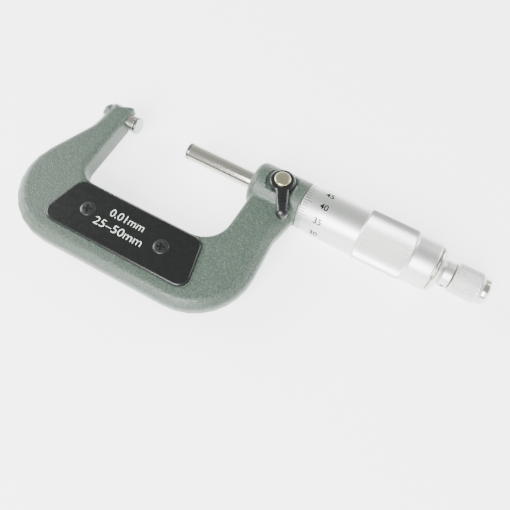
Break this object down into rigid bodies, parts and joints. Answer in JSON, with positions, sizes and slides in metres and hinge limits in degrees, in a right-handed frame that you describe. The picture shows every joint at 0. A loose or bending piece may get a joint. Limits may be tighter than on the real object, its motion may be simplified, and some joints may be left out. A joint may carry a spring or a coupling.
{
  "type": "outside micrometer",
  "caption": "Outside micrometer with a C-shaped frame, carbide measuring faces, lock lever, graduated thimble and ratchet stop.",
  "frame": {"origin": "centre of the anvil's measuring face", "axes": "+X along the measuring axis from the anvil to the ratchet, +Y in the frame's plane from the bow to the measuring axis, +Z out of the front cover plate"},
  "size_m": [0.1627, 0.0659, 0.02],
  "materials": {
    "frame_paint": "satin",
    "plate_black": "satin",
    "screw_black": "satin",
    "ground_steel": "gloss",
    "carbide": "gloss",
    "satin_chrome": "satin",
    "bright_chrome": "gloss",
    "tool_steel": "satin",
    "spring_steel": "satin",
    "lever_black": "gloss",
    "brass": "satin"
  },
  "bodies": {
    "frame_body": {"frame": "frame_paint", "front_plate": "plate_black", "rear_plate": "plate_black", "front_plate_screws": "screw_black", "rear_plate_screws": "screw_black", "anvil": "ground_steel", "anvil_tip": "carbide", "sleeve": "satin_chrome", "inner_sleeve": "tool_steel", "adjusting_nut": "tool_steel", "lock_pad": "brass"},
    "spindle_body": {"spindle": "ground_steel", "spindle_tip": "carbide"},
    "thimble_body": {"thimble": "satin_chrome", "thimble_cap": "satin_chrome", "ratchet_stem": "satin_chrome", "ratchet_disc": "tool_steel", "ratchet_screw": "bright_chrome"},
    "ratchet_body": {"ratchet_knob": "satin_chrome", "ratchet_pawl": "tool_steel", "ratchet_spring": "spring_steel"},
    "lock_body": {"lock_lever": "lever_black", "lock_screw": "bright_chrome"}
  },
  "joints": [
    {"name": "spindle_slide", "type": "slide", "parent": "frame_body", "child": "spindle_body", "axis": [1, 0, 0], "range_m": [0, 0.0276]},
    {"name": "thimble_turn", "type": "hinge", "parent": "spindle_body", "child": "thimble_body", "pos_m": [0.09, 0, 0], "axis": [1, 0, 0], "range_deg": [0, 19872]},
    {"name": "ratchet_slip", "type": "hinge", "parent": "thimble_body", "child": "ratchet_body", "pos_m": [0.132, 0, 0], "axis": [1, 0, 0], "continuous": true},
    {"name": "lock_turn", "type": "hinge", "parent": "frame_body", "child": "lock_body", "pos_m": [0.061, 0, 0.0086], "axis": [0, 0, 1], "range_deg": [-50, 0]}
  ],
  "couplings": [
    {"joint": "thimble_turn", "follows": "spindle_slide", "rad_per_m": 12566}
  ]
}
